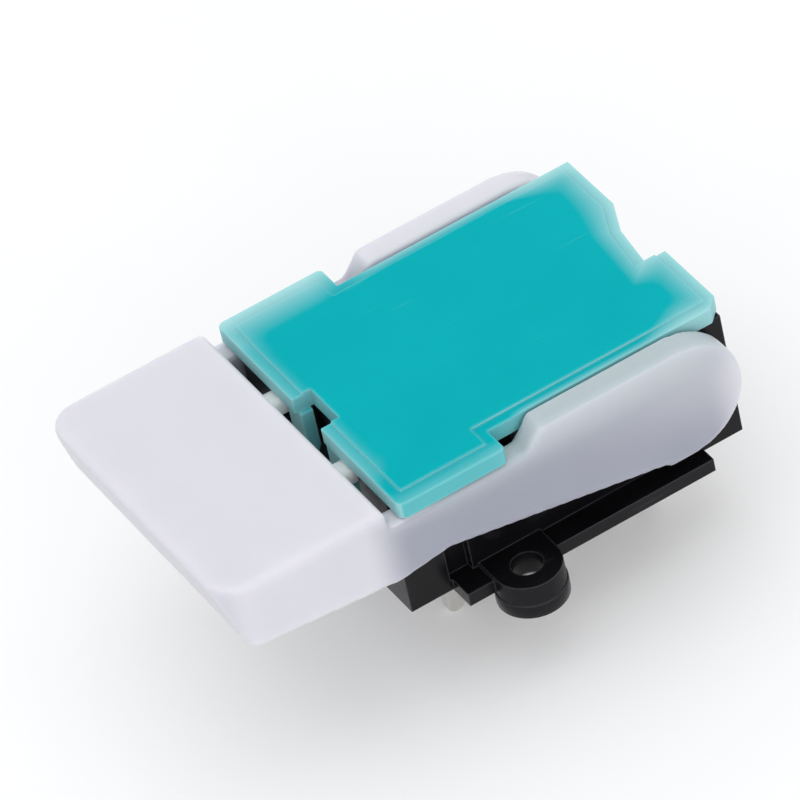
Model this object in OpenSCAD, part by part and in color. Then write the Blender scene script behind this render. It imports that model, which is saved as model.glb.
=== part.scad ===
// Lever switch for a circuit board: a black base with six flat pins, a latched
// cover and a forked lever whose wide pad is pressed by a resting handset.
// Millimetres. +X points to the pad, +Z away from the board. The origin lies on
// the board's face, at the centre of the pin grid.

/* [Terminals] */
// Distance between pins along the switch
pin_pitch_x = 5; // [4.8:0.1:5.4]
// Distance between the two rows of pins
pin_pitch_y = 5; // [4.6:0.1:5.2]
// Width of a pin, along its row
pin_w = 0.8; // [0.6:0.05:1]
// Thickness of the terminal sheet
pin_t = 0.5; // [0.4:0.05:0.6]
// Length of a pin below the board's face
pin_len = 3.25; // [2.5:0.05:5]
// Width of a terminal over its shoulders
shoulder_w = 2.1; // [1.7:0.1:2.6]
// Height of the straight part of a shoulder
shoulder_h = 0.4; // [0.3:0.05:0.5]
// Width of the shelves that carry blades and contacts
shelf_w = 1.6; // [1.4:0.1:1.8]
// Thickness of those shelves
shelf_t = 0.4; // [0.3:0.05:0.5]
// Reach of the rear shelf in front of its pin's middle
tang_len = 0.7; // [0.5:0.05:0.85]

/* [Base] */
// Distance from the rear pins to the rear end of the base
rear_margin = 3.1; // [2.9:0.05:3.8]
// Distance from the front pins to the front of the base
front_margin = 3.3; // [2.8:0.05:3.8]
// Distance from a row of pins to the outside of the side wall
side_margin = 3.3; // [3:0.05:3.9]
// Height of the base's underside above the board
standoff = 1; // [0.9:0.05:1.2]
// Thickness of the base's side and end walls
wall_t = 1; // [0.8:0.05:1.1]
// Thickness of the base's floor
floor_t = 1.05; // [0.8:0.05:1.3]
// Depth of the shallow cells round the pins
cell_depth = 0.3; // [0.2:0.05:0.35]
// Width of the ribs between cells, along the switch
rib_x = 1.4; // [1:0.1:1.8]
// Width of the ribs between the two rows of cells
rib_y = 1; // [0.8:0.1:1.6]
// Width of the channel in the rear wall
rear_bay_w = 4.4; // [3.6:0.1:5]
// Depth of the channel in the rear wall
rear_bay_depth = 1; // [0.7:0.05:1.1]
// Width of the pillars beside the bay in the front wall
pillar_w = 2.3; // [1.6:0.1:2.8]
// Length of the blocks at the front ends of the side walls
corner_len = 2; // [1.7:0.05:2.2]
// Width of the grooves in the side walls, behind those blocks
groove_w = 1.1; // [0.8:0.1:1.3]
// Depth of those grooves
groove_depth = 0.4; // [0.2:0.05:0.5]

/* [Ears] */
// Place of the ears along the switch
ear_x = 3.4; // [3:0.1:3.8]
// Distance from the side wall to the middle of an ear hole
ear_reach = 1.4; // [1.3:0.05:1.9]
// Radius of the ear's foot
ear_r = 1.58; // [1.45:0.01:1.8]
// Radius of the ear hole
ear_hole_r = 0.7; // [0.6:0.05:0.85]
// Radius of the countersink at the ear's lower face
ear_sink_r = 1.15; // [0.95:0.05:1.3]
// Depth of that countersink
ear_sink_h = 0.5; // [0.3:0.05:0.6]
// Height of an ear
ear_h = 1.65; // [1.5:0.05:1.85]
// Height of the ear's wider foot
ear_foot_h = 0.65; // [0.5:0.05:0.9]
// Step from the foot to the narrower top of the ear
ear_step = 0.06; // [0.04:0.01:0.2]
// Reach of the side flange beyond the wall
flange_reach = 1.2; // [0.8:0.05:1.4]
// Thickness of the side flange
flange_t = 0.65; // [0.6:0.05:0.85]
// Height of the flange's underside above the board
flange_z = 0.85; // [0.75:0.05:0.9]
// Distance from the rear end of the base to the flange
flange_inset = 2.15; // [1.4:0.05:3]
// Reach of the flange in front of the ear's middle
flange_front = 2.8; // [2.2:0.05:3]

/* [Cover] */
// Thickness of the cover at its rim
cover_t = 0.8; // [0.7:0.05:1]
// Height of the raised panel on the cover
panel_h = 0.1; // [0.05:0.01:0.15]
// Width of the rim round the raised panel
panel_inset = 0.5; // [0.4:0.05:0.8]
// Width of the rim along the sides of the wings
wing_rim = 0.7; // [0.5:0.05:0.9]
// Overhang of the cover beyond the base's rear end
lap_rear = 0.1; // [0.05:0.05:0.2]
// Overhang of the cover beyond the base's front
lap_front = 0.15; // [0.1:0.05:0.3]
// Length of the wings that lie over the arms
wing_len = 5.15; // [4.75:0.05:5.5]
// Radius of the wings' front corners
wing_r = 0.35; // [0.2:0.05:0.6]
// Chamfer at the wings' rear corners
wing_chamfer = 0.15; // [0.1:0.05:0.4]
// Depth of the locating lip inside the base
lip_h = 0.55; // [0.4:0.05:0.7]
// Thickness of the locating lip
lip_t = 0.7; // [0.5:0.05:0.8]
// Width of the latch strap
strap_w = 4.3; // [3.6:0.1:5.2]
// Thickness of the latch strap
strap_t = 0.6; // [0.5:0.05:0.8]
// Length of the latch strap below the cover
strap_len = 3.6; // [3.2:0.1:4.4]
// Width of the window in the strap
window_w = 1.9; // [1.6:0.1:2.4]
// Distance from the strap's end to its window
window_rise = 0.9; // [0.7:0.05:1.1]
// Width of the notch in the front edge, over the window
front_notch_w = 2.3; // [1.8:0.1:2.8]
// Depth of that notch
front_notch_depth = 0.9; // [0.85:0.05:1.1]
// Far end of the rear notch, from the middle of the switch
rear_notch_far = 2.4; // [2:0.1:2.8]
// Near end of the rear notch, from the middle of the switch
rear_notch_near = 1.65; // [1.3:0.05:2]
// Depth of the rear notch at its near end
rear_notch_depth = 1; // [0.8:0.05:1.2]
// Depth of the rear notch at the end of its slanted side
rear_notch_rise = 0.7; // [0.5:0.05:0.8]
// Length of the rear notch's slanted side
rear_notch_slant = 1.7; // [1.3:0.1:2.2]
// Chamfer at the cover's near rear corner
rear_chamfer = 0.6; // [0.3:0.05:0.8]
// Height of the catch in the strap's window
catch_h = 1.4; // [1.1:0.05:1.8]

/* [Lever] */
// Thickness of an arm
arm_t = 1.2; // [1:0.05:1.5]
// Length of the flat heel under the rear end of an arm
heel_len = 1.2; // [0.8:0.1:1.6]
// Small step in front of the heel
heel_step = 0.15; // [0.1:0.05:0.25]
// Height of an arm at its neck, below the wing
neck_h = 2.6; // [2.3:0.1:2.9]
// Distance from the front of the base back to the neck
neck_inset = 1.7; // [1.2:0.1:2.2]
// Length of the slope at the rear end of the wing recess
recess_slope = 0.8; // [0.5:0.1:1.2]
// Length of the pad at its top
pad_len = 7.9; // [6.5:0.1:9]
// Height of the pad at its rear
pad_rear_h = 3.95; // [3.7:0.05:4.4]
// Height of the pad at its front
pad_front_h = 3.25; // [2.8:0.05:3.65]
// Slant of the pad's front face
pad_slant = 0.9; // [0.4:0.1:1.4]
// Radius of the pad's front corners, seen from above
pad_corner_r = 1.6; // [0.8:0.1:2.4]
// Radius of the pad's long top edges
pad_top_r = 0.25; // [0.15:0.05:0.8]
// Radius of the pad's long bottom edges
pad_low_r = 0.3; // [0.2:0.05:0.6]
// Length of the small ramp at the pad's rear top edge
pad_ramp = 0.25; // [0.15:0.05:0.4]
// Reach of the stop tongues behind the pad
tongue_len = 1.3; // [1.1:0.05:1.5]
// Thickness of the stop tongues
tongue_t = 0.8; // [0.6:0.05:1]
// Radius of the pivot pins on the arms
pivot_r = 0.9; // [0.7:0.05:0.95]
// Radius of the drive pegs on the arms
peg_r = 0.5; // [0.4:0.02:0.54]
// Place of the drive pegs along the switch
peg_x = 1.5; // [1:0.1:1.8]
// Travel of the lever in degrees
press_angle = 10; // [8:0.5:10.5]

/* [Contacts] */
// Thickness of a contact blade
blade_t = 0.2; // [0.15:0.01:0.25]
// Width of a contact blade
blade_w = 1.6; // [1.3:0.05:1.8]
// Length of the blade behind its root
blade_tail = 0.6; // [0.4:0.05:0.8]
// Length of the tab that a drive peg presses
tab_len = 1.4; // [1.1:0.1:1.8]
// Radius of the contact heads
head_r = 0.55; // [0.45:0.01:0.65]
// Height of a contact head
head_h = 0.3; // [0.2:0.02:0.32]
// Radius of the rivet shank through the blade
shank_r = 0.25; // [0.2:0.01:0.3]
// Distance from the blade's free end back to its contact
contact_inset = 1; // [0.8:0.05:1.2]

/* [Clearances] */
// Gap between a side wall and an arm
arm_gap = 0.4; // [0.3:0.05:0.6]
// Gap between the cover's edge and an arm
cover_gap = 0.2; // [0.1:0.05:0.3]
// Gap between a wing and the arm under it
wing_gap = 0.1; // [0.05:0.01:0.2]
// Gap between the ends of a wing and the recess in the arm
wing_end_gap = 0.9; // [0.5:0.05:1.2]
// Gap between the cover's front and the pad
pad_gap = 0.65; // [0.6:0.05:0.9]
// Gap between a stop tongue and the cover above it
stop_gap = 0.08; // [0.05:0.01:0.15]
// Gap on both sides of a stop tongue
tongue_gap = 0.15; // [0.1:0.01:0.25]
// Gap round a pivot pin
pivot_gap = 0.08; // [0.04:0.01:0.1]
// Gap round a drive peg in its slot
peg_gap = 0.25; // [0.15:0.01:0.3]
// Gap between a drive peg and its blade
touch_gap = 0.1; // [0.05:0.01:0.12]
// Gap between the lower shelves and the floor
floor_gap = 0.45; // [0.3:0.05:0.6]
// Gap between the cover's lip and what works below it
head_room = 0.15; // [0.1:0.01:0.25]
// Gap between a closed pair of contacts
contact_gap = 0.06; // [0.04:0.01:0.1]
// Gap between a blade's root and its terminal
root_gap = 0.2; // [0.17:0.01:0.25]
// Gap between a blade's free end and the front terminal
end_gap = 0.2; // [0.15:0.01:0.3]
// Gap round a terminal in the floor
slot_gap = 0.03; // [0.02:0.01:0.05]
// Gap between the locating lip and the walls
lip_gap = 0.15; // [0.08:0.01:0.25]
// Gap between the latch strap and the bay behind it
strap_gap = 0.25; // [0.15:0.01:0.3]
// Gap round the catch in the strap's window
catch_gap = 0.15; // [0.1:0.01:0.25]

/* [Hidden] */
$fn = 64;
cut = 1;
left = 1;
right = -1;

// Base, walls and hollow
row_y = pin_pitch_y / 2;
base_x0 = -pin_pitch_x - rear_margin;
base_x1 = pin_pitch_x + front_margin;
base_y = row_y + side_margin;
cell_x = pin_pitch_x - rib_x;
cell_y = pin_pitch_y - rib_y;
cell_z = standoff + cell_depth;
floor_z = cell_z + floor_t;
bay_depth = strap_t + strap_gap;
bay_x = base_x1 - bay_depth;
bay_y = base_y - pillar_w;
hollow_x0 = base_x0 + rear_bay_depth + wall_t;
hollow_x1 = bay_x - wall_t;
hollow_y = base_y - wall_t;
ear_y = base_y + ear_reach;
groove_x1 = base_x1 - corner_len;
flange_top = flange_z + flange_t;

// Blades and contacts, stacked from the floor up. The pivot stands so high that
// the pressed lever just closes the lower pair of contacts.
pivot_x = -pin_pitch_x;
blade_x1 = pin_pitch_x - pin_w / 2 - end_gap;
contact_x = blade_x1 - contact_inset;
blade_sink = blade_t / 4;
open_shelf_z = floor_z + floor_gap;
open_z = open_shelf_z + shelf_t + head_h;
head_fall = sin(press_angle) * (contact_x + head_r - pivot_x);
pivot_z = open_z + contact_gap + head_fall + cos(press_angle) * (blade_sink + head_h);
blade_z0 = pivot_z - blade_sink;
blade_z1 = blade_z0 + blade_t;
tang_z = blade_z0 - root_gap;
closed_z = blade_z1 + head_h + contact_gap;
closed_shelf_z = closed_z + head_h;
peg_z = blade_z1 + touch_gap + peg_r;
peg_y = row_y + blade_w / 2 + peg_gap;
pressed_peg_z = pivot_z - sin(press_angle) * (peg_x - pivot_x) + cos(press_angle) * (peg_z - pivot_z);
tab_y = hollow_y - peg_gap;
lip_z = max(closed_shelf_z + shelf_t, peg_z + peg_r) + head_room;
base_top = lip_z + lip_h;

// Arms, cover and wings
arm_y0 = base_y + arm_gap;
arm_y1 = arm_y0 + arm_t;
cover_y = arm_y0 - cover_gap;
cover_x0 = base_x0 - lap_rear;
cover_x1 = base_x1 + lap_front;
rim_top = base_top + cover_t;
cover_top = rim_top + panel_h;
wing_x0 = cover_x1 - wing_len;
arm_r = cover_top - pivot_z;
recess_z = base_top - wing_gap;
recess_x = wing_x0 - wing_end_gap;
heel_x = pivot_x + heel_len;
heel_z = pivot_z - arm_r;
neck_x = base_x1 - neck_inset;
neck_z = recess_z - neck_h;
pad_x0 = cover_x1 + pad_gap;
pad_x1 = pad_x0 + pad_len;
tongue_top = base_top - stop_gap;
pivot_pin_y = hollow_y + (wall_t - arm_gap) / 2;

// Latch strap and catch
catch_w = window_w - 2 * catch_gap;
strap_z = base_top - strap_len;
window_z = strap_z + window_rise;
catch_z0 = window_z + catch_gap;
catch_z1 = catch_z0 + catch_h;

// Box between two corners
module block(low, high) {
    translate(low) cube(high - low);
}

// Extrudes an outline drawn in X and Z between two Y values
module side_extrude(y0, y1) {
    translate([0, y1, 0]) rotate([90, 0, 0]) linear_extrude(y1 - y0) children();
}

// Extrudes an outline drawn in X and Y between two Z values
module plan_extrude(z0, z1) {
    translate([0, 0, z0]) linear_extrude(z1 - z0) children();
}

// The same shape on the left and on the right
module both_sides() {
    children();
    mirror([0, 1, 0]) children();
}

// Round bar along Y between two Y values
module cross_bar(x, z, y0, y1, r) {
    translate([x, y0, z]) rotate([-90, 0, 0]) cylinder(h = y1 - y0, r = r);
}

// Shape on one side of the switch
module on_side(side) {
    if (side == left) children();
    else mirror([0, 1, 0]) children();
}

// Base housing
module ear() {
    translate([ear_x, ear_y, 0]) cylinder(h = ear_foot_h, r = ear_r);
    translate([ear_x, ear_y, 0]) cylinder(h = ear_h, r = ear_r - ear_step);
    block(
        [ear_x - ear_r + ear_step, hollow_y + wall_t / 2, flange_z],
        [ear_x + ear_r - ear_step, ear_y, ear_h]
    );
}

module flange() {
    block(
        [base_x0 + flange_inset, hollow_y + wall_t / 2, flange_z],
        [ear_x + flange_front, base_y + flange_reach, flange_top]
    );
}

module catch_wedge() {
    side_extrude(-catch_w / 2, catch_w / 2) polygon([
        [bay_x - wall_t / 2, catch_z0],
        [base_x1 - catch_gap, catch_z0],
        [bay_x, catch_z1],
        [bay_x - wall_t / 2, catch_z1]
    ]);
}

module pin_cells() {
    for (i = [-1, 0, 1], side = [left, right])
        translate([i * pin_pitch_x, side * row_y, 0])
            block([-cell_x / 2, -cell_y / 2, standoff - cut], [cell_x / 2, cell_y / 2, cell_z]);
}

module pin_slots() {
    slot_x = pin_w / 2 + slot_gap;
    slot_y = pin_t / 2 + slot_gap;
    for (i = [-1, 0, 1], side = [left, right])
        translate([i * pin_pitch_x, side * row_y, 0])
            block([-slot_x, -slot_y, standoff], [slot_x, slot_y, floor_z + cut]);
}

module base_openings() {
    block([hollow_x0, -hollow_y, floor_z], [hollow_x1, hollow_y, base_top + cut]);
    block(
        [base_x0 - cut, -rear_bay_w / 2, standoff - cut],
        [base_x0 + rear_bay_depth, rear_bay_w / 2, base_top + cut]
    );
    block([bay_x, -bay_y, standoff - cut], [base_x1 + cut, bay_y, base_top + cut]);
    pin_cells();
    pin_slots();
    both_sides() {
        cross_bar(pivot_x, pivot_z, hollow_y - cut, base_y + cut, pivot_r + pivot_gap);
        block(
            [peg_x - peg_r - peg_gap, hollow_y - cut, pressed_peg_z - peg_r - peg_gap],
            [peg_x + peg_r + peg_gap, base_y + cut, base_top + cut]
        );
        block(
            [groove_x1 - groove_w, base_y - groove_depth, flange_top],
            [groove_x1, base_y + cut, base_top + cut]
        );
        translate([ear_x, ear_y, 0]) cylinder(h = ear_h + cut, r = ear_hole_r);
        translate([ear_x, ear_y, 0]) cylinder(h = ear_sink_h, r1 = ear_sink_r, r2 = ear_hole_r);
    }
}

module base_housing() {
    color([0.17, 0.16, 0.19]) {
        difference() {
            union() {
                block([base_x0, -base_y, standoff], [base_x1, base_y, base_top]);
                both_sides() {
                    ear();
                    flange();
                }
            }
            base_openings();
        }
        catch_wedge();
    }
}

// Top cover
module cover_outline() {
    difference() {
        union() {
            polygon([
                [cover_x0, -cover_y],
                [cover_x1 - wing_r, -cover_y],
                [cover_x1 - wing_r, cover_y],
                [cover_x0 + rear_chamfer, cover_y],
                [cover_x0, cover_y - rear_chamfer]
            ]);
            wings_outline();
        }
        front_notch();
        rear_notch();
    }
}

module wings_outline() {
    polygon([
        [wing_x0, -arm_y1 + wing_chamfer],
        [wing_x0 + wing_chamfer, -arm_y1],
        [cover_x1 - wing_r, -arm_y1],
        [cover_x1 - wing_r, arm_y1],
        [wing_x0 + wing_chamfer, arm_y1],
        [wing_x0, arm_y1 - wing_chamfer]
    ]);
    translate([cover_x1 - 2 * wing_r, wing_r - arm_y1]) square([2 * wing_r, 2 * (arm_y1 - wing_r)]);
    for (side = [left, right])
        translate([cover_x1 - wing_r, side * (arm_y1 - wing_r)]) circle(r = wing_r);
}

module front_notch() {
    translate([cover_x1 - front_notch_depth, -front_notch_w / 2])
        square([front_notch_depth + cut, front_notch_w]);
}

module rear_notch() {
    polygon([
        [cover_x0 - cut, -rear_notch_far],
        [cover_x0, -rear_notch_far],
        [cover_x0 + rear_notch_rise, rear_notch_slant - rear_notch_far],
        [cover_x0 + rear_notch_depth, rear_notch_near],
        [cover_x0 - cut, rear_notch_near]
    ]);
}

module panel_part(x0, y) {
    translate([x0 + panel_inset, -y]) square([cover_x1 - x0 - 2 * panel_inset, 2 * y]);
}

module panel_outline() {
    difference() {
        union() {
            panel_part(cover_x0, cover_y - panel_inset);
            panel_part(wing_x0, arm_y1 - wing_rim);
        }
        front_notch();
        translate([panel_inset, 0]) rear_notch();
    }
}

module locating_lip() {
    x0 = hollow_x0 + lip_gap;
    x1 = hollow_x1 - lip_gap;
    y = hollow_y - lip_gap;
    difference() {
        block([x0, -y, lip_z], [x1, y, base_top + cover_t / 2]);
        block([x0 + lip_t, lip_t - y, lip_z - cut], [x1 - lip_t, y - lip_t, base_top]);
    }
}

module latch_strap() {
    difference() {
        block([base_x1 - strap_t, -strap_w / 2, strap_z], [base_x1, strap_w / 2, base_top + cover_t / 2]);
        block(
            [base_x1 - strap_t - cut, -window_w / 2, window_z],
            [base_x1 + cut, window_w / 2, rim_top + cut]
        );
        block(
            [cover_x1 - front_notch_depth, -front_notch_w / 2, base_top],
            [base_x1 + cut, front_notch_w / 2, rim_top + cut]
        );
    }
}

module top_cover() {
    color([0.07, 0.69, 0.72]) {
        plan_extrude(base_top, rim_top) cover_outline();
        plan_extrude(rim_top - cover_t / 2, cover_top) panel_outline();
        locating_lip();
        latch_strap();
    }
}

// Lever
module arm_outline() {
    translate([pivot_x, pivot_z]) circle(r = arm_r);
    polygon([
        [pivot_x, heel_z],
        [heel_x, heel_z],
        [heel_x, heel_z + heel_step],
        [neck_x, neck_z],
        [pad_x0, cover_top - pad_rear_h],
        [pad_x0 + pad_ramp, cover_top - pad_rear_h],
        [pad_x0 + pad_ramp, recess_z],
        [recess_x, recess_z],
        [recess_x - recess_slope, cover_top],
        [pivot_x, cover_top]
    ]);
}

module pad_side_outline() {
    polygon([
        [pad_x0, cover_top - pad_rear_h],
        [pad_x1 - pad_slant, cover_top - pad_front_h],
        [pad_x1, cover_top],
        [pad_x0 + pad_ramp, cover_top],
        [pad_x0, cover_top - pad_ramp]
    ]);
}

module pad_plan_outline() {
    translate([pad_x0 - cut, -arm_y1]) square([pad_len + cut - pad_corner_r, 2 * arm_y1]);
    translate([pad_x0, pad_corner_r - arm_y1]) square([pad_len, 2 * (arm_y1 - pad_corner_r)]);
    for (side = [left, right])
        translate([pad_x1 - pad_corner_r, side * (arm_y1 - pad_corner_r)]) circle(r = pad_corner_r);
}

module pad_front_outline() {
    low = cover_top - pad_rear_h;
    middle = low + pad_rear_h / 2;
    top_y = arm_y1 - pad_top_r;
    low_y = arm_y1 - pad_low_r;
    translate([-arm_y1, low + pad_low_r]) square([2 * arm_y1, pad_rear_h - pad_low_r - pad_top_r]);
    translate([-top_y, middle]) square([2 * top_y, cover_top - middle]);
    translate([-low_y, low]) square([2 * low_y, middle - low]);
    for (side = [left, right]) {
        translate([side * top_y, cover_top - pad_top_r]) circle(r = pad_top_r);
        translate([side * low_y, low + pad_low_r]) circle(r = pad_low_r);
    }
}

module pad() {
    intersection() {
        side_extrude(-arm_y1, arm_y1) pad_side_outline();
        plan_extrude(cover_top - pad_rear_h, cover_top) pad_plan_outline();
        translate([pad_x0 - cut, 0, 0])
            rotate([90, 0, 90]) linear_extrude(pad_len + 2 * cut) pad_front_outline();
    }
}

module stop_tongue() {
    block(
        [pad_x0 - tongue_len, strap_w / 2 + tongue_gap, tongue_top - tongue_t],
        [pad_x0 + pad_ramp, bay_y - tongue_gap, tongue_top]
    );
}

module lever() {
    color([0.87, 0.86, 0.9]) {
        pad();
        both_sides() {
            stop_tongue();
            side_extrude(arm_y0, arm_y1) arm_outline();
            cross_bar(pivot_x, pivot_z, pivot_pin_y, arm_y0 + arm_t / 2, pivot_r);
            cross_bar(peg_x, peg_z, peg_y, arm_y0 + arm_t / 2, peg_r);
        }
    }
}

// Terminals
module pin_outline() {
    tip_r = pin_w / 2;
    shoulder_z = cell_z - shoulder_h;
    flare = (shoulder_w - pin_w) / 2;
    translate([0, tip_r - pin_len]) circle(r = tip_r);
    translate([-tip_r, tip_r - pin_len]) square([pin_w, floor_z + pin_len - tip_r]);
    difference() {
        translate([-shoulder_w / 2, shoulder_z - flare]) square([shoulder_w, shoulder_h + flare]);
        for (side = [left, right])
            translate([side * shoulder_w / 2, shoulder_z - flare]) circle(r = flare);
    }
}

module terminal_pin(x) {
    translate([x, 0, 0]) side_extrude(row_y - pin_t / 2, row_y + pin_t / 2) pin_outline();
}

module riser(x, z) {
    block([x - pin_w / 2, row_y - pin_t / 2, floor_z], [x + pin_w / 2, row_y + pin_t / 2, z]);
}

module shelf(x0, x1, z) {
    block([x0, row_y - shelf_w / 2, z], [x1, row_y + shelf_w / 2, z + shelf_t]);
}

module common_terminal(side) {
    color([0.79, 0.77, 0.73]) on_side(side) {
        terminal_pin(-pin_pitch_x);
        riser(-pin_pitch_x, tang_z);
        shelf(-pin_pitch_x - pin_w / 2, tang_len - pin_pitch_x, tang_z - shelf_t);
    }
}

module open_terminal(side) {
    color([0.79, 0.77, 0.73]) on_side(side) {
        terminal_pin(0);
        riser(0, open_shelf_z + shelf_t);
        shelf(-pin_w / 2, contact_x + head_r, open_shelf_z);
    }
}

module closed_terminal(side) {
    color([0.79, 0.77, 0.73]) on_side(side) {
        terminal_pin(pin_pitch_x);
        riser(pin_pitch_x, closed_shelf_z + shelf_t);
        shelf(contact_x - head_r, pin_pitch_x + pin_w / 2, closed_shelf_z);
    }
}

// Blades and contacts
module contact_blade(side) {
    color([0.72, 0.53, 0.29]) on_side(side) difference() {
        union() {
            block(
                [pivot_x - blade_tail, row_y - blade_w / 2, blade_z0],
                [blade_x1, row_y + blade_w / 2, blade_z1]
            );
            block([peg_x - tab_len / 2, row_y, blade_z0], [peg_x + tab_len / 2, tab_y, blade_z1]);
        }
        translate([contact_x, row_y, blade_z0 - cut]) cylinder(h = blade_t + 2 * cut, r = shank_r);
    }
}

module contact_head(z) {
    translate([contact_x, row_y, z]) cylinder(h = head_h, r = head_r);
}

module moving_contact(side) {
    color([0.86, 0.85, 0.83]) on_side(side) {
        contact_head(blade_z0 - head_h);
        contact_head(blade_z1);
        translate([contact_x, row_y, blade_z0]) cylinder(h = blade_t, r = shank_r);
    }
}

module open_contact(side) {
    color([0.86, 0.85, 0.83]) on_side(side) contact_head(open_z - head_h);
}

module closed_contact(side) {
    color([0.86, 0.85, 0.83]) on_side(side) contact_head(closed_z);
}

base_housing();
top_cover();
lever();
common_terminal(left);  // common_terminal_left
common_terminal(right);  // common_terminal_right
open_terminal(left);  // open_terminal_left
open_terminal(right);  // open_terminal_right
closed_terminal(left);  // closed_terminal_left
closed_terminal(right);  // closed_terminal_right
contact_blade(left);  // contact_blade_left
contact_blade(right);  // contact_blade_right
moving_contact(left);  // moving_contact_left
moving_contact(right);  // moving_contact_right
open_contact(left);  // open_contact_left
open_contact(right);  // open_contact_right
closed_contact(left);  // closed_contact_left
closed_contact(right);  // closed_contact_right
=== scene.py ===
# %% [markdown]
# # A hook switch for a circuit board
# A telephone's handset rests on the white pad. Its weight turns the forked lever, and two pegs on the
# lever's arms press the contact blades down inside the black base. A latched teal cover closes the base.
# The shapes come from the solids. This lesson softens their edges as the mould does, gives each material
# its finish, and sets up the floor, the light and the camera. The solids are loaded first, and their box
# is kept: its lowest point sets the floor.

# %% Load the solids
import math

import bpy
from mathutils import Matrix, Vector


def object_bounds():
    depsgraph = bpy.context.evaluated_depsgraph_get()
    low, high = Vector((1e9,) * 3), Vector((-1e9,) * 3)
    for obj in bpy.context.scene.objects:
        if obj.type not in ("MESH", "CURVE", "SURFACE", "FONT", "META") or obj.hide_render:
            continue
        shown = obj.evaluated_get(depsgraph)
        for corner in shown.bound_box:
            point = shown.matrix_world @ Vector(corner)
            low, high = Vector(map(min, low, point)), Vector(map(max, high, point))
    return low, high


MM = 0.001
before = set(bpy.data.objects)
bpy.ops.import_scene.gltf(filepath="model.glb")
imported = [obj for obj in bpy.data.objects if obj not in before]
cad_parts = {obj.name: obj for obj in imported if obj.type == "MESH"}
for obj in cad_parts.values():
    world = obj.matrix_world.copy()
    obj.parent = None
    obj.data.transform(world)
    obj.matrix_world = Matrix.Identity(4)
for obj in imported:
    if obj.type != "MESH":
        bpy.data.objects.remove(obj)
cad_low, cad_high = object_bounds()
print("solids:", len(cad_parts), "box in mm:", [round(v / MM, 2) for v in cad_high - cad_low])

# %% [markdown]
# ## Short words for nodes
# Materials are made of nodes, and nodes in code are long-winded. These helpers keep the code short: one sets
# or links a socket, one adds a node with all of its sockets, and the others are the four nodes that masks
# are mostly made of: sums, a soft step between two values, a mix of two colours, and noise.

# %% Node helpers
MIX_FACTOR, MIX_FIRST, MIX_SECOND, MIX_RESULT = 0, 6, 7, 2


def give(tree, socket, value):
    if isinstance(value, bpy.types.NodeSocket):
        tree.links.new(value, socket)
    else:
        socket.default_value = value


def add(tree, kind, settings=None, **sockets):
    made = tree.nodes.new(kind)
    for key, value in (settings or {}).items():
        setattr(made, key, value)
    for key, value in sockets.items():
        numbered = key[0] == "i" and key[1:].isdigit()
        give(tree, made.inputs[int(key[1:]) if numbered else key.replace("_", " ")], value)
    return made


def maths(tree, operation, *values):
    sockets = {f"i{place}": value for place, value in enumerate(values)}
    return add(tree, "ShaderNodeMath", {"operation": operation}, **sockets).outputs[0]


def times(tree, first, second):
    return maths(tree, "MULTIPLY", first, second)


def fade(tree, value, start, end, low=0.0, high=1.0):
    settings = {"interpolation_type": "SMOOTHSTEP"}
    sockets = {"Value": value, "From_Min": start, "From_Max": end, "To_Min": low, "To_Max": high}
    return add(tree, "ShaderNodeMapRange", settings, **sockets).outputs["Result"]


def mixed(tree, factor, first, second):
    sockets = {f"i{MIX_FACTOR}": factor, f"i{MIX_FIRST}": first, f"i{MIX_SECOND}": second}
    return add(tree, "ShaderNodeMix", {"data_type": "RGBA"}, **sockets).outputs[MIX_RESULT]


def noise(tree, place, scale, detail, roughness=0.5):
    sockets = {"Vector": place, "Scale": scale, "Detail": detail, "Roughness": roughness}
    return add(tree, "ShaderNodeTexNoise", **sockets).outputs["Fac"]


# %% [markdown]
# ## Groups with named sockets
# What several materials need, such as grain or edge wear, could be copied into each of them. Built once as a
# node group with named inputs and outputs, it is placed in each material with its own values, and a change
# reaches them all. One helper starts a group, another places it.

# %% Group helpers
FLOAT, VECTOR = "NodeSocketFloat", "NodeSocketVector"


def start_group(name, inputs, outputs):
    tree = bpy.data.node_groups.new(name, "ShaderNodeTree")
    for label, kind, default in inputs:
        socket = tree.interface.new_socket(label, in_out="INPUT", socket_type=kind)
        if default is not None:
            socket.default_value = default
    for label, kind in outputs:
        tree.interface.new_socket(label, in_out="OUTPUT", socket_type=kind)
    print("group:", name)
    return tree, tree.nodes.new("NodeGroupInput").outputs, tree.nodes.new("NodeGroupOutput").inputs


def use(tree, group, **sockets):
    return add(tree, "ShaderNodeGroup", {"node_tree": group}, **sockets).outputs


# %% [markdown]
# ## Place on the part
# Object coordinates are the part's own metres. This group turns them into millimetres and hands out the
# three values one by one, with the direction that the surface faces. Every material starts from it, so a
# mask such as "near the rear end of the cover" stays on the part when the lever moves.

# %% Group: place in millimetres
place_mm, _, out = start_group(
    "place in millimetres",
    [],
    [("Place", VECTOR), ("X", FLOAT), ("Y", FLOAT), ("Z", FLOAT), ("Front", FLOAT), ("Up", FLOAT)],
)
own = add(place_mm, "ShaderNodeTexCoord").outputs
scaled = add(place_mm, "ShaderNodeVectorMath", {"operation": "SCALE"}, Vector=own["Object"], Scale=1 / MM)
parts = add(place_mm, "ShaderNodeSeparateXYZ", Vector=scaled.outputs[0])
facing = add(place_mm, "ShaderNodeSeparateXYZ", Vector=own["Normal"])
place_mm.links.new(scaled.outputs[0], out["Place"])
for axis in "XYZ":
    place_mm.links.new(parts.outputs[axis], out[axis])
place_mm.links.new(facing.outputs["X"], out["Front"])
place_mm.links.new(facing.outputs["Z"], out["Up"])

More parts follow.
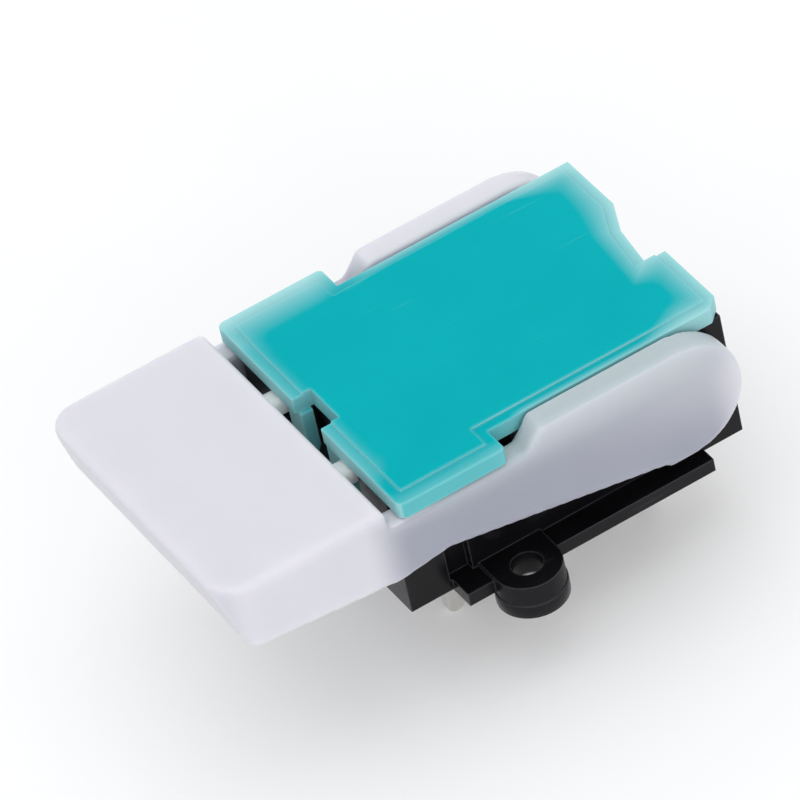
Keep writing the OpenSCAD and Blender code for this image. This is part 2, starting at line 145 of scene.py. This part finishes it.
# %% [markdown]
# ## Depth inside a rectangle
# The cover and the lever let light through. Where the black base lies behind them they look deep or grey,
# and where they stand free they look pale. So both need to know how far a point lies inside an outline. The
# group gives the distance to the nearest side of a rectangle, positive inside it. Soften rounds the corners
# of its contours, as light does when it spreads through plastic.

# %% Group: depth inside a rectangle
box_depth, given, out = start_group(
    "depth inside a rectangle",
    [("Along", FLOAT, 0), ("Across", FLOAT, 0), ("Low", FLOAT, -1), ("High", FLOAT, 1),
     ("Half Width", FLOAT, 1), ("Soften", FLOAT, 0.8)],
    [("Depth", FLOAT)],
)
from_low = maths(box_depth, "SUBTRACT", given["Along"], given["Low"])
from_high = maths(box_depth, "SUBTRACT", given["High"], given["Along"])
off_middle = maths(box_depth, "ABSOLUTE", given["Across"])
from_side = maths(box_depth, "SUBTRACT", given["Half Width"], off_middle)
nearest = maths(box_depth, "SMOOTH_MIN", from_low, from_high, given["Soften"])
nearest = maths(box_depth, "SMOOTH_MIN", nearest, from_side, given["Soften"])
box_depth.links.new(nearest, out["Depth"])

# %% [markdown]
# ## The skin of a moulding
# A moulded face copies the steel of its mould: a fine spark-eroded grain, slow waves where the plastic
# shrank on cooling, and later a few hairline scuffs from handling. Three noises at three scales give them.
# The scuffs come from a noise that is stretched along one direction, of which only thin crests are kept.

# %% Group: moulded skin
SCUFF_TURN = (0.3, 0.2, 0.7)
SCUFF_STRETCH = (0.12, 5.5, 3.0)
WAVE_HEIGHT = 6.0

moulded_skin, given, out = start_group(
    "moulded skin",
    [("Place", VECTOR, None), ("Grain", FLOAT, 14.0), ("Waves", FLOAT, 0.35), ("Scuff Amount", FLOAT, 0.5)],
    [("Height", FLOAT), ("Tone", FLOAT), ("Scuffs", FLOAT)],
)
place = given["Place"]
grain = noise(moulded_skin, place, given["Grain"], detail=3.0, roughness=0.6)
waves = noise(moulded_skin, place, given["Waves"], detail=2.0)
turned = add(moulded_skin, "ShaderNodeMapping", Vector=place, Rotation=SCUFF_TURN, Scale=SCUFF_STRETCH)
hairs = noise(moulded_skin, turned.outputs[0], 1.0, detail=4.0, roughness=0.7)
crests = fade(moulded_skin, hairs, 0.62, 0.7)
patches = fade(moulded_skin, waves, 0.5, 0.62)
scuffs = times(moulded_skin, times(moulded_skin, crests, patches), given["Scuff Amount"])
height = maths(moulded_skin, "MULTIPLY_ADD", waves, WAVE_HEIGHT, grain)
moulded_skin.links.new(height, out["Height"])
moulded_skin.links.new(waves, out["Tone"])
moulded_skin.links.new(scuffs, out["Scuffs"])

# %% [markdown]
# ## Edge line
# Along an edge a clear plastic gathers light, a black one rubs grey and a plated one shines. The materials
# paint this into their colour: a painted highlight on the teal and the tin, painted grey on the black for
# wear and highlight, and a little painted shade on the lever. Edges could be painted by hand, but the Bevel
# node
# finds them all: it looks at the faces within a small radius, and where its averaged normal leaves the
# surface's own, an edge is near. The averaged normal is put out too: shaded with it, an edge looks rounder
# than it is, as in milky plastic.

# %% Group: edge line
ALIKE_ON_FACE, ALIKE_ON_EDGE = 0.985, 0.8

edge_line, given, out = start_group(
    "edge line", [("Radius", FLOAT, 0.2)], [("Edge", FLOAT), ("Rounded", VECTOR)]
)
radius = times(edge_line, given["Radius"], MM)
averaged = add(edge_line, "ShaderNodeBevel", {"samples": 6}, Radius=radius).outputs[0]
surface = add(edge_line, "ShaderNodeNewGeometry").outputs["Normal"]
alike = add(edge_line, "ShaderNodeVectorMath", {"operation": "DOT_PRODUCT"}, i0=averaged, i1=surface)
edge = fade(edge_line, alike.outputs["Value"], ALIKE_ON_FACE, ALIKE_ON_EDGE)
edge_line.links.new(edge, out["Edge"])
edge_line.links.new(averaged, out["Rounded"])

# %% [markdown]
# ## Ejector marks
# Round pins push a moulding out of its mould and leave a fine ring on the hidden side. A ring is too shallow
# to be worth cutting into the mesh, so it is bump. The group draws one ring as a mask, mirrored across the
# part's middle, and a material places as many as the mould had pins.

# %% Group: ejector mark
RING_OUTER, RING_INNER = 0.06, 0.02

ejector_mark, given, out = start_group(
    "ejector mark",
    [("X", FLOAT, 0), ("Y", FLOAT, 0), ("At X", FLOAT, 0), ("At Y", FLOAT, 0), ("Radius", FLOAT, 0.6)],
    [("Ring", FLOAT)],
)
dx = maths(ejector_mark, "SUBTRACT", given["X"], given["At X"])
dy = maths(ejector_mark, "SUBTRACT", maths(ejector_mark, "ABSOLUTE", given["Y"]), given["At Y"])
squares = maths(ejector_mark, "MULTIPLY_ADD", dx, dx, times(ejector_mark, dy, dy))
from_centre = maths(ejector_mark, "SQRT", squares)
off_ring = maths(ejector_mark, "ABSOLUTE", maths(ejector_mark, "SUBTRACT", from_centre, given["Radius"]))
ejector_mark.links.new(fade(ejector_mark, off_ring, RING_OUTER, RING_INNER), out["Ring"])

# %% [markdown]
# ## Rolled and stamped strip
# Terminals and blades are stamped from rolled strip. Rolling leaves fine streaks along the strip, and
# plating or handling leaves faint cloudy patches. A noise stretched along one axis gives the streaks.

# %% Group: rolled strip
CLOUD_SCALE = 1.6

rolled_strip, given, out = start_group(
    "rolled strip",
    [("Place", VECTOR, None), ("Stretch", VECTOR, (20.0, 20.0, 1.0))],
    [("Streaks", FLOAT), ("Clouds", FLOAT)],
)
place, stretch = given["Place"], given["Stretch"]
drawn = add(rolled_strip, "ShaderNodeVectorMath", {"operation": "MULTIPLY"}, i0=place, i1=stretch)
streaks = noise(rolled_strip, drawn.outputs[0], 1.0, detail=3.0, roughness=0.6)
clouds = noise(rolled_strip, place, CLOUD_SCALE, detail=3.0)
rolled_strip.links.new(streaks, out["Streaks"])
rolled_strip.links.new(clouds, out["Clouds"])


# %% [markdown]
# ## Starting a material
# Each material is one Principled BSDF. Numbers that are the same all over sit on its own sockets. What
# changes over the surface comes from the groups through Base Color, Roughness and a Bump node. The bump's
# depth is in millimetres.

# %% Material helpers
def start_material(name, **sockets):
    made = bpy.data.materials.new(name)
    made.use_nodes = True
    shader = made.node_tree.nodes["Principled BSDF"]
    for key, value in sockets.items():
        shader.inputs[key.replace("_", " ")].default_value = value
    return made, made.node_tree, shader


def feed(tree, shader, colour, roughness, height, strength, depth, normal=None):
    tree.links.new(colour, shader.inputs["Base Color"])
    tree.links.new(roughness, shader.inputs["Roughness"])
    bump = add(tree, "ShaderNodeBump", Strength=strength, Distance=depth * MM, Height=height)
    if normal is not None:
        tree.links.new(normal, bump.inputs["Normal"])
    tree.links.new(bump.outputs[0], shader.inputs["Normal"])


def dress(names, material):
    for name in names:
        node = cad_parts[name]
        node.data.materials.clear()
        node.data.materials.append(material)
    print(material.name, "on", ", ".join(names))


# %% [markdown]
# ## Gloss and rings of a moulding
# The mouldings share two more habits. Their gloss drifts with the slow waves and is duller on scuffs. And
# the faces of the base and the lever that look down carry ejector rings, sunk a little into the skin. A
# noise seldom leaves its middle values, so a small helper spreads that part of it over a range of gloss.

# %% Moulding helpers
NOISE_LOW, NOISE_HIGH = 0.3, 0.7
RING_DEPTH = 3.0


def spread(tree, value, low, high):
    return fade(tree, value, NOISE_LOW, NOISE_HIGH, low, high)


def skin_gloss(tree, skin, polished, dull, scuffed):
    drifting = spread(tree, skin["Tone"], polished, dull)
    return maths(tree, "MULTIPLY_ADD", skin["Scuffs"], scuffed, drifting)


def ring_relief(tree, at, skin, centres, radius):
    rings = 0.0
    for x, y in centres:
        mark = use(tree, ejector_mark, X=at["X"], Y=at["Y"], At_X=x, At_Y=y, Radius=radius)
        rings = maths(tree, "MAXIMUM", mark["Ring"], rings)
    below = fade(tree, at["Up"], -0.5, -0.9)
    return maths(tree, "MULTIPLY_ADD", times(tree, rings, below), -RING_DEPTH, skin["Height"])


# %% [markdown]
# ## Black base
# The base is a glossy black moulding. One black with one gloss would look like paint. Black hides its colour
# but not its skin: the grain blurs reflections a little, edges are painted grey, partly as rubbed wear and
# partly as a painted highlight where they catch the light, and the underside keeps the ejector marks.

# %% Black base
BASE_EJECTORS = ((-2.5, 0.0), (2.5, 0.0), (-6.9, 4.4), (6.9, 4.7))
WORN_AND_HIGHLIT_GREY = (0.085, 0.08, 0.095, 1)

base_black, tree, shader = start_material("glossy_black_moulding", IOR=1.5, Specular_IOR_Level=0.18)
at = use(tree, place_mm)
skin = use(tree, moulded_skin, Place=at["Place"], Grain=16.0, Waves=0.4, Scuff_Amount=0.6)
edge = use(tree, edge_line, Radius=0.12)["Edge"]
# Edges are painted grey, partly as wear and partly as a painted highlight; the scuffs are wear.
worn_and_highlit_edges = maths(tree, "MAXIMUM", times(tree, edge, 0.7), times(tree, skin["Scuffs"], 0.5))
toned = mixed(tree, skin["Tone"], (0.003, 0.003, 0.0036, 1), (0.007, 0.0066, 0.008, 1))
colour = mixed(tree, worn_and_highlit_edges, toned, WORN_AND_HIGHLIT_GREY)
relief = ring_relief(tree, at, skin, BASE_EJECTORS, radius=0.5)
gloss = skin_gloss(tree, skin, polished=0.2, dull=0.3, scuffed=0.2)
feed(tree, shader, colour, gloss, relief, strength=0.35, depth=0.012)
dress(["base_housing"], base_black)

# %% [markdown]
# ## Teal cover: how far to the edge
# The cover is dyed, slightly cloudy plastic. Over the black base the light that enters is lost, so the teal
# is deep. Towards its free edges light comes back through the plastic, and the teal turns pale and milky.
# Clear plastic with dye in it could show this, but slowly and with little control. Two teals and a mask are
# quicker and surer. The mask needs the distance from a point to the cover's outline, which is the body and
# the wings together, less the notch in the rear edge with its slanted side. Sizes are in millimetres.

# %% Teal cover: the outline's sizes
def box_of(name):
    points = [vertex.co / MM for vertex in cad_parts[name].data.vertices]
    return [Vector([pick(p[axis] for p in points) for axis in range(3)]) for pick in (min, max)]


cover_low, cover_high = box_of("top_cover")
SIDE_HALF = 6.0
WING_LEN = 5.15
wing_root = cover_high.x - WING_LEN
NOTCH_DEPTH, NOTCH_RISE, NOTCH_SLANT = 1.0, 0.7, 1.7
NOTCH_NEAR, NOTCH_FAR = 1.65, -2.4
notch_corners = (
    (0, NOTCH_FAR),
    (NOTCH_RISE, NOTCH_FAR + NOTCH_SLANT),
    (NOTCH_DEPTH, NOTCH_NEAR),
    (0, NOTCH_NEAR),
)
notch = [Vector((cover_low.x + depth, y)) for depth, y in notch_corners]
print("cover from", [round(v, 2) for v in cover_low], "to", [round(v, 2) for v in cover_high])


# %% [markdown]
# ## Teal cover: the distance as nodes
# Two rectangles are joined by a soft maximum, and the notch is taken out by a soft minimum. The notch is a
# short chain of straight walls: a point is inside it where it lies on the inner side of each of them. The
# front edge and the wings' rear edges glow less than the others, so the rectangles reach a little past them.

# %% Teal cover: distance to the outline
def beside_wall(tree, at, start, end):
    run = (end - start).normalized()
    from_x = maths(tree, "MULTIPLY_ADD", at["X"], -run.y, run.y * start.x - run.x * start.y)
    return maths(tree, "MULTIPLY_ADD", at["Y"], run.x, from_x)


FRONT_EASE, WING_EASE = 0.85, 1.5
JOIN_SOFT = 0.9

cover_teal, tree, shader = start_material(
    "cloudy_teal_moulding", IOR=1.5, Specular_IOR_Level=0.02, Subsurface_Weight=0.25,
    Subsurface_Radius=(0.4, 1.0, 1.0), Subsurface_Scale=0.6 * MM,
)
at = use(tree, place_mm)
plan = {"Along": at["X"], "Across": at["Y"], "High": cover_high.x + FRONT_EASE}
body = use(tree, box_depth, **plan, Low=cover_low.x, Half_Width=SIDE_HALF)["Depth"]
wings = use(tree, box_depth, **plan, Low=wing_root - WING_EASE, Half_Width=cover_high.y)["Depth"]
slanted, deepest, near = [beside_wall(tree, at, *ends) for ends in zip(notch, notch[1:])]
in_notch = maths(tree, "MINIMUM", maths(tree, "MINIMUM", slanted, deepest), near)
outline = maths(tree, "SMOOTH_MAX", body, wings, JOIN_SOFT)
inside = maths(tree, "SMOOTH_MIN", outline, times(tree, in_notch, -1.0), JOIN_SOFT)
print("notch corners in mm:", [(round(v.x, 2), round(v.y, 2)) for v in notch])

# %% [markdown]
# ## Teal cover: the glow
# The glow is broad round the rear end and on the wings, where light gets in from more sides, and only a
# thin line along the sides, a little stronger on the far one. On the near wing it is weaker, because the
# arm below keeps some of the light. Each of these places is a mask that fades between two distances from an
# edge, and it changes the glow's width and strength. Upright faces glow too, most of all the front face.

# %% Teal cover: glow
def fade_at(tree, value, edge, start, end):
    return fade(tree, value, edge + start, edge + end)


GLOW_CURVE = 1.4
LINE_WIDTH, LINE_STRENGTH = 0.35, 0.55
UPRIGHT_GLOW, NEAR_WING_LOSS = 0.5, 0.32

at_rear = fade_at(tree, at["X"], cover_low.x, 4.0, 1.2)
at_wings = fade_at(tree, at["X"], wing_root, -1.8, 1.2)
near_wing = times(tree, fade_at(tree, at["Y"], SIDE_HALF, -1.5, 0.5), at_wings)
far_side = fade_at(tree, at["Y"], -SIDE_HALF, 1.2, 0.2)
changes = ((at_rear, 1.15, 0.35), (at_wings, 1.65, 0.35), (near_wing, -1.1, -0.58), (far_side, 0.25, 0.2))
width, strength = LINE_WIDTH, LINE_STRENGTH
for mask, wider, stronger in changes:
    width = maths(tree, "MULTIPLY_ADD", mask, wider, width)
    strength = maths(tree, "MULTIPLY_ADD", mask, stronger, strength)
share = maths(tree, "SUBTRACT", 1.0, maths(tree, "DIVIDE", inside, width))
glow = maths(tree, "POWER", add(tree, "ShaderNodeClamp", Value=share).outputs[0], GLOW_CURVE)
upright_glow = maths(tree, "MULTIPLY_ADD", near_wing, -NEAR_WING_LOSS, UPRIGHT_GLOW)
upright = times(tree, fade(tree, at["Up"], 0.75, 0.25), upright_glow)
at_front = fade_at(tree, at["X"], cover_high.x, -0.35, -0.15)
front_face = times(tree, at_front, fade(tree, at["Front"], 0.25, 0.75, 0.0, 0.8))
pale = maths(tree, "MAXIMUM", times(tree, glow, strength), upright)
pale = maths(tree, "MAXIMUM", pale, front_face)
print("glow masks:", len(changes))

# %% [markdown]
# ## Teal cover: finish
# The glow mixes a deep teal with a milky one, and both drift a little with the skin's waves. Fine edges
# gather light as they do in any clear plastic. Subsurface scattering softens it all.

# %% Teal cover: finish
EDGE_TEAL, SCUFF_TEAL = (0.4, 0.68, 0.69, 1), (0.45, 0.7, 0.7, 1)

skin = use(tree, moulded_skin, Place=at["Place"], Grain=10.0, Waves=0.3, Scuff_Amount=0.5)
edge = use(tree, edge_line, Radius=0.2)["Edge"]
deep = mixed(tree, skin["Tone"], (0.0, 0.355, 0.395, 1), (0.001, 0.395, 0.435, 1))
milky = mixed(tree, skin["Tone"], (0.31, 0.6, 0.61, 1), (0.39, 0.65, 0.66, 1))
colour = mixed(tree, pale, deep, milky)
colour = mixed(tree, times(tree, edge, 0.45), colour, EDGE_TEAL)
colour = mixed(tree, times(tree, skin["Scuffs"], 0.15), colour, SCUFF_TEAL)
gloss = skin_gloss(tree, skin, polished=0.3, dull=0.4, scuffed=0.2)
feed(tree, shader, colour, gloss, skin["Height"], strength=0.2, depth=0.01)
dress(["top_cover"], cover_teal)

# %% [markdown]
# ## White lever: grey where the base is near
# The lever is natural, undyed plastic: milky, a little lavender, and soft at every edge. Its arms run close
# beside the black base, so they look greyer than the pad, most of all low down and in front. The shade is
# the depth inside the base's outline, seen from the side: scattering alone would leave the lever the same
# white all over. Only the arm's root, where it faces up, stays bright.

# %% White lever: shade
SHADE_AHEAD, SHADE_OVER, SHADE_SOFT = 2.1, 1.1, 2.2
SHADE_TILT = -2.0
LOW_AND_FRONT = (-20.0, -10.0)
ROOT_FADE = (5.0, 7.5)

lever_white, tree, shader = start_material(
    "milky_white_moulding", IOR=1.5, Specular_IOR_Level=0.12, Subsurface_Weight=0.8,
    Subsurface_Radius=(1.0, 0.9, 1.1), Subsurface_Scale=1.0 * MM,
)
at = use(tree, place_mm)
base_low, base_high = box_of("base_housing")
level = maths(tree, "SUBTRACT", at["Z"], (base_low.z + base_high.z) / 2)
side_view = {"Along": at["X"], "Across": level, "Low": base_low.x, "High": base_high.x + SHADE_AHEAD}
half_height = (base_high.z - base_low.z) / 2 + SHADE_OVER
behind = use(tree, box_depth, **side_view, Half_Width=half_height)["Depth"]
low_and_front = maths(tree, "MULTIPLY_ADD", at["Z"], SHADE_TILT, at["X"])
darker = fade(tree, low_and_front, *LOW_AND_FRONT, 0.55, 1.0)
shaded = times(tree, fade(tree, behind, 0.0, SHADE_SOFT), darker)
lit_root = times(tree, fade(tree, at["Up"], 0.5, 0.9), fade(tree, at["X"], *ROOT_FADE))
shaded = times(tree, shaded, maths(tree, "SUBTRACT", 1.0, lit_root))
print("base from", [round(v, 2) for v in base_low], "to", [round(v, 2) for v in base_high])

# %% [markdown]
# ## White lever: what lies beside it
# The near arm gets a painted teal reflection of the cover beside it, most of all on its top. The stop
# tongues in the gap behind the pad are painted nearly white: painted light for the light that runs through
# the plastic.

# %% White lever: painted teal reflection and gap light
ARM_SIDE, ARM_FRONT, ARM_HEIGHT = (0.0, 4.0), (8.0, 6.0), (5.5, 8.0)
GAP_UNDER_COVER, GAP_AHEAD, GAP_SOFT = 1.25, 0.7, 0.1

near_arm = times(tree, fade(tree, at["Y"], *ARM_SIDE), fade(tree, at["X"], *ARM_FRONT))
near_arm = times(tree, near_arm, fade(tree, at["Z"], *ARM_HEIGHT))
# Painted teal reflection of the cover, strongest on faces that look up.
teal_reflection_share = times(tree, near_arm, fade(tree, at["Up"], 0.3, 0.8, 0.4, 0.85))
# Painted light: the lever is painted nearly white in the gap behind the pad.
gap_low, gap_high = cover_high.x - GAP_UNDER_COVER, cover_high.x + GAP_AHEAD
gap = {"Along": at["X"], "Across": at["Y"], "Low": gap_low, "High": gap_high, "Half_Width": SIDE_HALF}
in_gap = fade(tree, use(tree, box_depth, **gap, Soften=GAP_SOFT)["Depth"], 0.0, GAP_SOFT)
print("gap from", round(gap_low, 2), "to", round(gap_high, 2))

# %% [markdown]
# ## White lever: finish
# The masks are laid over each other, from the painted shade grey to the painted teal reflection to the
# painted light in the gap. Faces that look to the front get a little painted shade. Scattered light makes
# edges too bright, so they are painted a little darker. The averaged normal of the edge group rounds the
# shading there, and the skin's bump lies on top of it.

# %% White lever: finish
ARM_TEAL_REFLECTION, GAP_PAINTED_LIGHT = (0.385, 0.465, 0.48, 1), (0.9, 0.9, 0.93, 1)
PAD_EJECTOR = (12.4, 5.2)

skin = use(tree, moulded_skin, Place=at["Place"], Grain=8.0, Waves=0.25, Scuff_Amount=0.4)
edges = use(tree, edge_line, Radius=0.5)
bright = mixed(tree, skin["Tone"], (0.63, 0.625, 0.67, 1), (0.67, 0.665, 0.7, 1))
shade_grey = mixed(tree, skin["Tone"], (0.32, 0.33, 0.39, 1), (0.36, 0.37, 0.425, 1))
# Painted shade: grey where the base lies behind the arms.
colour = mixed(tree, shaded, bright, shade_grey)
# Painted shade on faces that look to the front.
colour = mixed(tree, fade(tree, at["Front"], 0.3, 0.8, 0.0, 0.15), colour, shade_grey)
# Edges are painted a little darker, because scattered light makes them too bright.
colour = mixed(tree, times(tree, edges["Edge"], 0.25), colour, shade_grey)
colour = mixed(tree, teal_reflection_share, colour, ARM_TEAL_REFLECTION)
colour = mixed(tree, in_gap, colour, GAP_PAINTED_LIGHT)
relief = ring_relief(tree, at, skin, [PAD_EJECTOR], radius=0.9)
gloss = skin_gloss(tree, skin, polished=0.38, dull=0.48, scuffed=0.15)
feed(tree, shader, colour, gloss, relief, strength=0.2, depth=0.012, normal=edges["Rounded"])
dress(["lever"], lever_white)

# %% [markdown]
# ## Tinned terminals
# The pins are stamped from brass or bronze strip and tinned. Tin is bright but not a mirror: with one even
# gloss it would look like chrome, so the strip's streaks change the gloss. Near the shoulders the plating is
# thinner, and the warm metal shows through.

# %% Tinned terminals
SIDES = ("left", "right")
WARM_METAL, TIN_EDGE_HIGHLIGHT = (0.5, 0.2, 0.13, 1), (0.88, 0.87, 0.85, 1)
WARM_REACH = 0.6

tin, tree, shader = start_material("tinned_strip", Metallic=1.0)
at = use(tree, place_mm)
strip = use(tree, rolled_strip, Place=at["Place"], Stretch=(18.0, 18.0, 1.2))
edge = use(tree, edge_line, Radius=0.08)["Edge"]
plate = mixed(tree, strip["Clouds"], (0.66, 0.64, 0.61, 1), (0.8, 0.78, 0.75, 1))
at_shoulder = fade(tree, at["Z"], base_low.z - WARM_REACH, base_low.z + WARM_REACH)
warm = times(tree, at_shoulder, fade(tree, strip["Clouds"], 0.35, 0.6, 0.6, 1.0))
colour = mixed(tree, warm, plate, WARM_METAL)
# Edges get a painted highlight in bright tin, where they would catch the light.
colour = mixed(tree, times(tree, edge, 0.5), colour, TIN_EDGE_HIGHLIGHT)
gloss = spread(tree, strip["Streaks"], 0.24, 0.4)
feed(tree, shader, colour, gloss, strip["Streaks"], strength=0.25, depth=0.01)
terminals = [f"{kind}_terminal_{side}" for kind in ("common", "open", "closed") for side in SIDES]
dress(terminals, tin)

# %% [markdown]
# ## Blades and contacts
# Inside, spring bronze blades carry small silver rivets. They show only when the cover is taken away, but
# they are finished in the same way as the rest, with the strip's streaks running along the blade.

# %% Contact blades
bronze, tree, shader = start_material("spring_bronze_strip", Metallic=1.0)
at = use(tree, place_mm)
strip = use(tree, rolled_strip, Place=at["Place"], Stretch=(1.0, 20.0, 20.0))
colour = mixed(tree, strip["Clouds"], (0.58, 0.36, 0.17, 1), (0.76, 0.51, 0.26, 1))
gloss = spread(tree, strip["Streaks"], 0.2, 0.36)
feed(tree, shader, colour, gloss, strip["Streaks"], strength=0.25, depth=0.008)
blades = [f"contact_blade_{side}" for side in SIDES]
dress(blades, bronze)

# %% Silver contacts
silver, tree, shader = start_material("silver_contact", Metallic=1.0)
at = use(tree, place_mm)
strip = use(tree, rolled_strip, Place=at["Place"], Stretch=(9.0, 9.0, 9.0))
colour = mixed(tree, strip["Clouds"], (0.78, 0.76, 0.72, 1), (0.9, 0.89, 0.87, 1))
gloss = spread(tree, strip["Streaks"], 0.2, 0.34)
feed(tree, shader, colour, gloss, strip["Streaks"], strength=0.2, depth=0.008)
contacts = [f"{kind}_contact_{side}" for kind in ("moving", "open", "closed") for side in SIDES]
dress(contacts, silver)


# %% [markdown]
# ## Soft edges on the lever
# The lever has soft, round edges everywhere. A bevel needs clean edge loops, which a solid with many small
# steps doesn't give. So the solid is remeshed into small even cells, which are then relaxed: flat faces
# stay where they are and every edge melts into a small radius. A planar decimation takes out the cells that
# the flat faces don't need.

# %% Soften by remeshing
def melt_edges(name, cell, rounds):
    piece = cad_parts[name]
    cells = piece.modifiers.new("even_cells", "REMESH")
    cells.mode = "VOXEL"
    cells.voxel_size = cell * MM
    cells.use_smooth_shade = True
    relax = piece.modifiers.new("relax", "SMOOTH")
    relax.factor = 0.5
    relax.iterations = rounds
    thin = piece.modifiers.new("fewer_faces", "DECIMATE")
    thin.decimate_type = "DISSOLVE"
    thin.angle_limit = math.radians(0.6)
    return piece


def triangles_of(piece):
    shown = piece.evaluated_get(bpy.context.evaluated_depsgraph_get())
    return sum(len(face.vertices) - 2 for face in shown.data.polygons)


print("lever triangles:", triangles_of(melt_edges("lever", cell=0.12, rounds=10)))


# %% [markdown]
# ## Crisp edges on the base, the cover and the metal
# These pieces have crisp edges with only a small break. Remeshing would round them too much and cost many
# faces. So the solid's triangles are welded, flat faces are joined, and a narrow bevel catches the light.
# Its width is given for each piece in millimetres.

# %% Break the edges
def break_edges(name, width):
    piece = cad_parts[name]
    weld = piece.modifiers.new("join_seams", "WELD")
    weld.merge_threshold = 0.0005 * MM
    flat = piece.modifiers.new("whole_faces", "DECIMATE")
    flat.decimate_type = "DISSOLVE"
    flat.angle_limit = math.radians(0.5)
    bevel = piece.modifiers.new("broken_edges", "BEVEL")
    bevel.width = width * MM
    bevel.segments = 2
    bevel.limit_method = "ANGLE"
    bevel.angle_limit = math.radians(28)
    return piece


BREAKS = (
    (["base_housing"], 0.06),
    (["top_cover"], 0.045),
    (terminals, 0.05),
    (contacts, 0.03),
    (blades, 0.04),
)
for names, width in BREAKS:
    for name in names:
        print(name, "triangles:", triangles_of(break_edges(name, width)))

# %% [markdown]
# ## Floor
# The switch stands on its pin tips on a plain pale floor. Without one it would float, with no shadow at the
# pins. The floor glows a little, like a shooting table with a lamp below it. Seen from below it lets the
# view through, so that the underside can be looked at.

# %% Floor
floor_z = cad_low.z
bpy.ops.mesh.primitive_plane_add(size=2.0, location=(0, 0, floor_z))
floor = bpy.context.object
floor.name = "floor"
pale_floor, tree, shader = start_material(
    "pale_floor", Roughness=0.9, Specular_IOR_Level=0.1, Emission_Color=(1, 1, 1, 1), Emission_Strength=0.22
)
own = add(tree, "ShaderNodeTexCoord").outputs
speckle = noise(tree, own["Object"], 60.0, detail=2.0)
tone = mixed(tree, speckle, (0.68, 0.68, 0.68, 1), (0.71, 0.71, 0.71, 1))
tree.links.new(tone, shader.inputs["Base Color"])
from_below = add(tree, "ShaderNodeNewGeometry").outputs["Backfacing"]
clear = add(tree, "ShaderNodeBsdfTransparent").outputs[0]
either = add(tree, "ShaderNodeMixShader", i0=from_below, i1=shader.outputs[0], i2=clear)
tree.links.new(either.outputs[0], tree.nodes["Material Output"].inputs["Surface"])
floor.data.materials.append(pale_floor)
print("floor at", round(floor_z / MM, 2), "mm")


# %% [markdown]
# ## Light
# One small lamp would give hard shadows and white spots on the glossy plastic. A broad softbox overhead
# gives the even, nearly shadowless light of a catalogue picture, and two weaker ones open the sides. A pale
# world fills in the rest. The plain view transform keeps white plastic white.

# %% Lights
def softbox(name, place, size, power):
    data = bpy.data.lights.new(name, "AREA")
    data.size = size
    data.energy = power
    lamp = bpy.data.objects.new(name, data)
    lamp.location = place
    lamp.rotation_euler = (-Vector(place)).to_track_quat("-Z", "Y").to_euler()
    lamp.visible_camera = False
    bpy.context.scene.collection.objects.link(lamp)


softbox("overhead", (0.02, -0.03, 0.36), size=0.42, power=0.47)
softbox("near_side", (0.12, 0.34, 0.14), size=0.3, power=0.4)
softbox("far_side", (-0.2, -0.3, 0.16), size=0.3, power=0.18)
world = bpy.data.worlds.new("studio")
world.use_nodes = True
background = world.node_tree.nodes["Background"]
background.inputs["Color"].default_value = (0.97, 0.98, 1.0, 1)
background.inputs["Strength"].default_value = 0.8
bpy.context.scene.world = world
bpy.context.scene.view_settings.view_transform = "Standard"

# %% [markdown]
# ## Camera
# The photograph's view was solved from the switch's own corners: the camera stands on the near side, a
# little towards the pad, looks down at about 41 degrees, and is turned a little about its own axis. A long
# lens keeps the edges as parallel as they look there. The frame is centred on the switch, so nothing is
# shifted.

# %% Camera
VIEW_RIGHT = Vector((-0.84, 0.5148, -0.1714))
VIEW_BACK = Vector((0.2915, 0.6946, 0.6576))
MARGIN = 1.16

back = VIEW_BACK.normalized()
top = back.cross(VIEW_RIGHT).normalized()
right = top.cross(back)
corners = [vertex.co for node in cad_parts.values() for vertex in node.data.vertices]
centre = Vector()
spans = []
for axis in (right, top, back):
    along = [corner.dot(axis) for corner in corners]
    centre += axis * (min(along) + max(along)) / 2
    spans.append(max(along) - min(along))
frame_width = MARGIN * max(spans[0], spans[1])

lens = bpy.data.cameras.new("camera")
lens.lens = 400
lens.sensor_width = 36
lens.clip_start = 0.01
lens.clip_end = 10
distance = frame_width * lens.lens / lens.sensor_width
camera = bpy.data.objects.new("camera", lens)
turn = Matrix((right, top, back)).transposed().to_4x4()
camera.matrix_world = Matrix.Translation(centre + back * distance) @ turn
bpy.context.scene.collection.objects.link(camera)
bpy.context.scene.camera = camera
print("frame width in mm:", round(frame_width / MM, 1), "distance in mm:", round(distance / MM))
